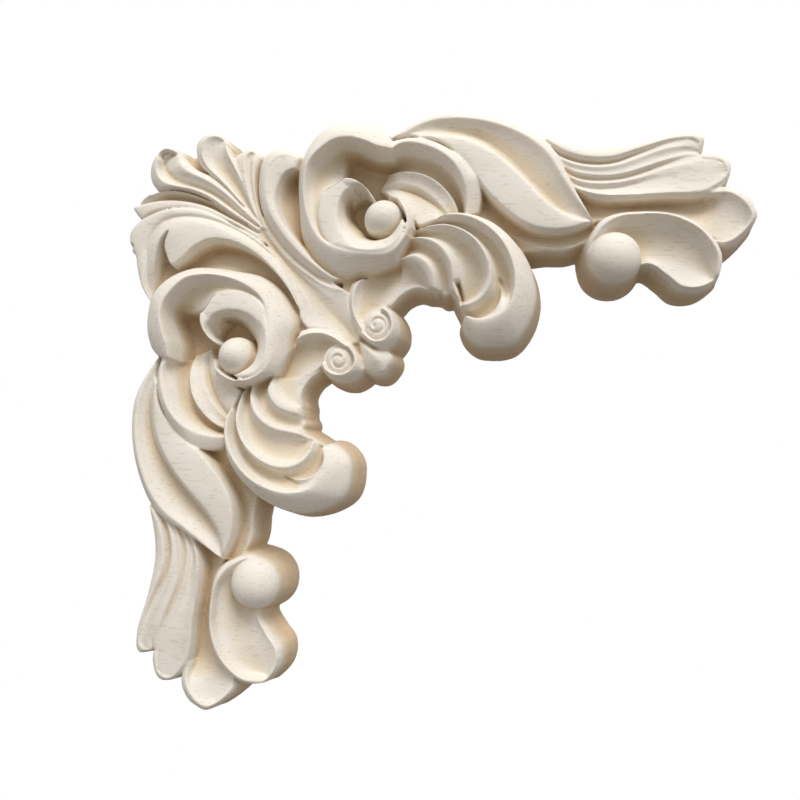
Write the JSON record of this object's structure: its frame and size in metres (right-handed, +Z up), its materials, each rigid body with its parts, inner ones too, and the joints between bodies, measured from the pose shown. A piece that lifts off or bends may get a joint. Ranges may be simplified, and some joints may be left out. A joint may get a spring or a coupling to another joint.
{
  "type": "carved wood corner applique",
  "caption": "L-shaped corner onlay carved from one piece of pale wood, with scrolls, a volute and acanthus leaves on each arm and a flat back.",
  "frame": {"origin": "on the flat back, on the diagonal between the two arms, about 67 mm in from the outer corner of the crest", "axes": "+X along the horizontal arm away from the corner, +Z up with the other arm hanging down from the corner, +Y out of the flat back into the wall or door; the carving faces -Y"},
  "size_m": [0.1711, 0.0202, 0.1632],
  "materials": {
    "pale_wood": "raw, sanded, matt"
  },
  "bodies": {
    "root": {"corner_applique": "pale_wood"}
  },
  "joints": []
}
